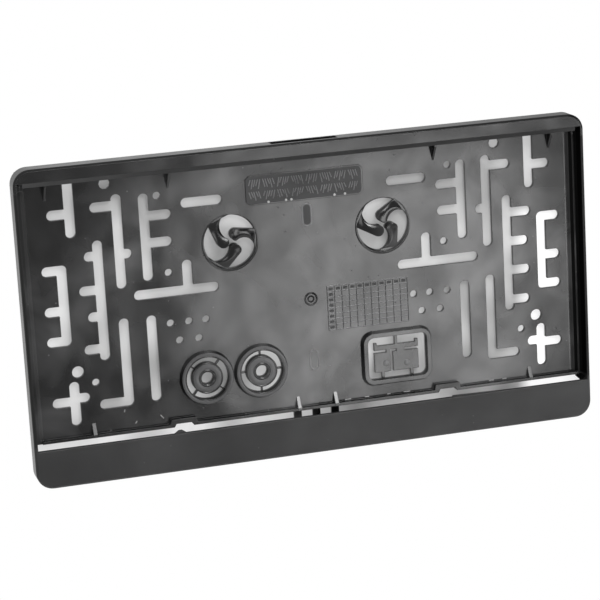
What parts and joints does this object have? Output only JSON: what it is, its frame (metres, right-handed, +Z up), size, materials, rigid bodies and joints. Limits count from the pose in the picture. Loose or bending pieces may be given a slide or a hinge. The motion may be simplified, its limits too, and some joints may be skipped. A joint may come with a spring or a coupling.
{
  "type": "number plate holder",
  "caption": "Moulded plastic tray that carries a number plate between a top lip and a broad foot strip, with a slotted back panel for bolting to a vehicle.",
  "frame": {"origin": "middle of the flat back, which lies against the vehicle", "axes": "+X along the long side to the right seen from the front, +Z up, the open front faces -Y"},
  "size_m": [0.317, 0.011, 0.1726],
  "materials": {
    "black_plastic": "semi-gloss moulded black"
  },
  "bodies": {
    "root": {"plate_holder": "black_plastic"}
  },
  "joints": []
}
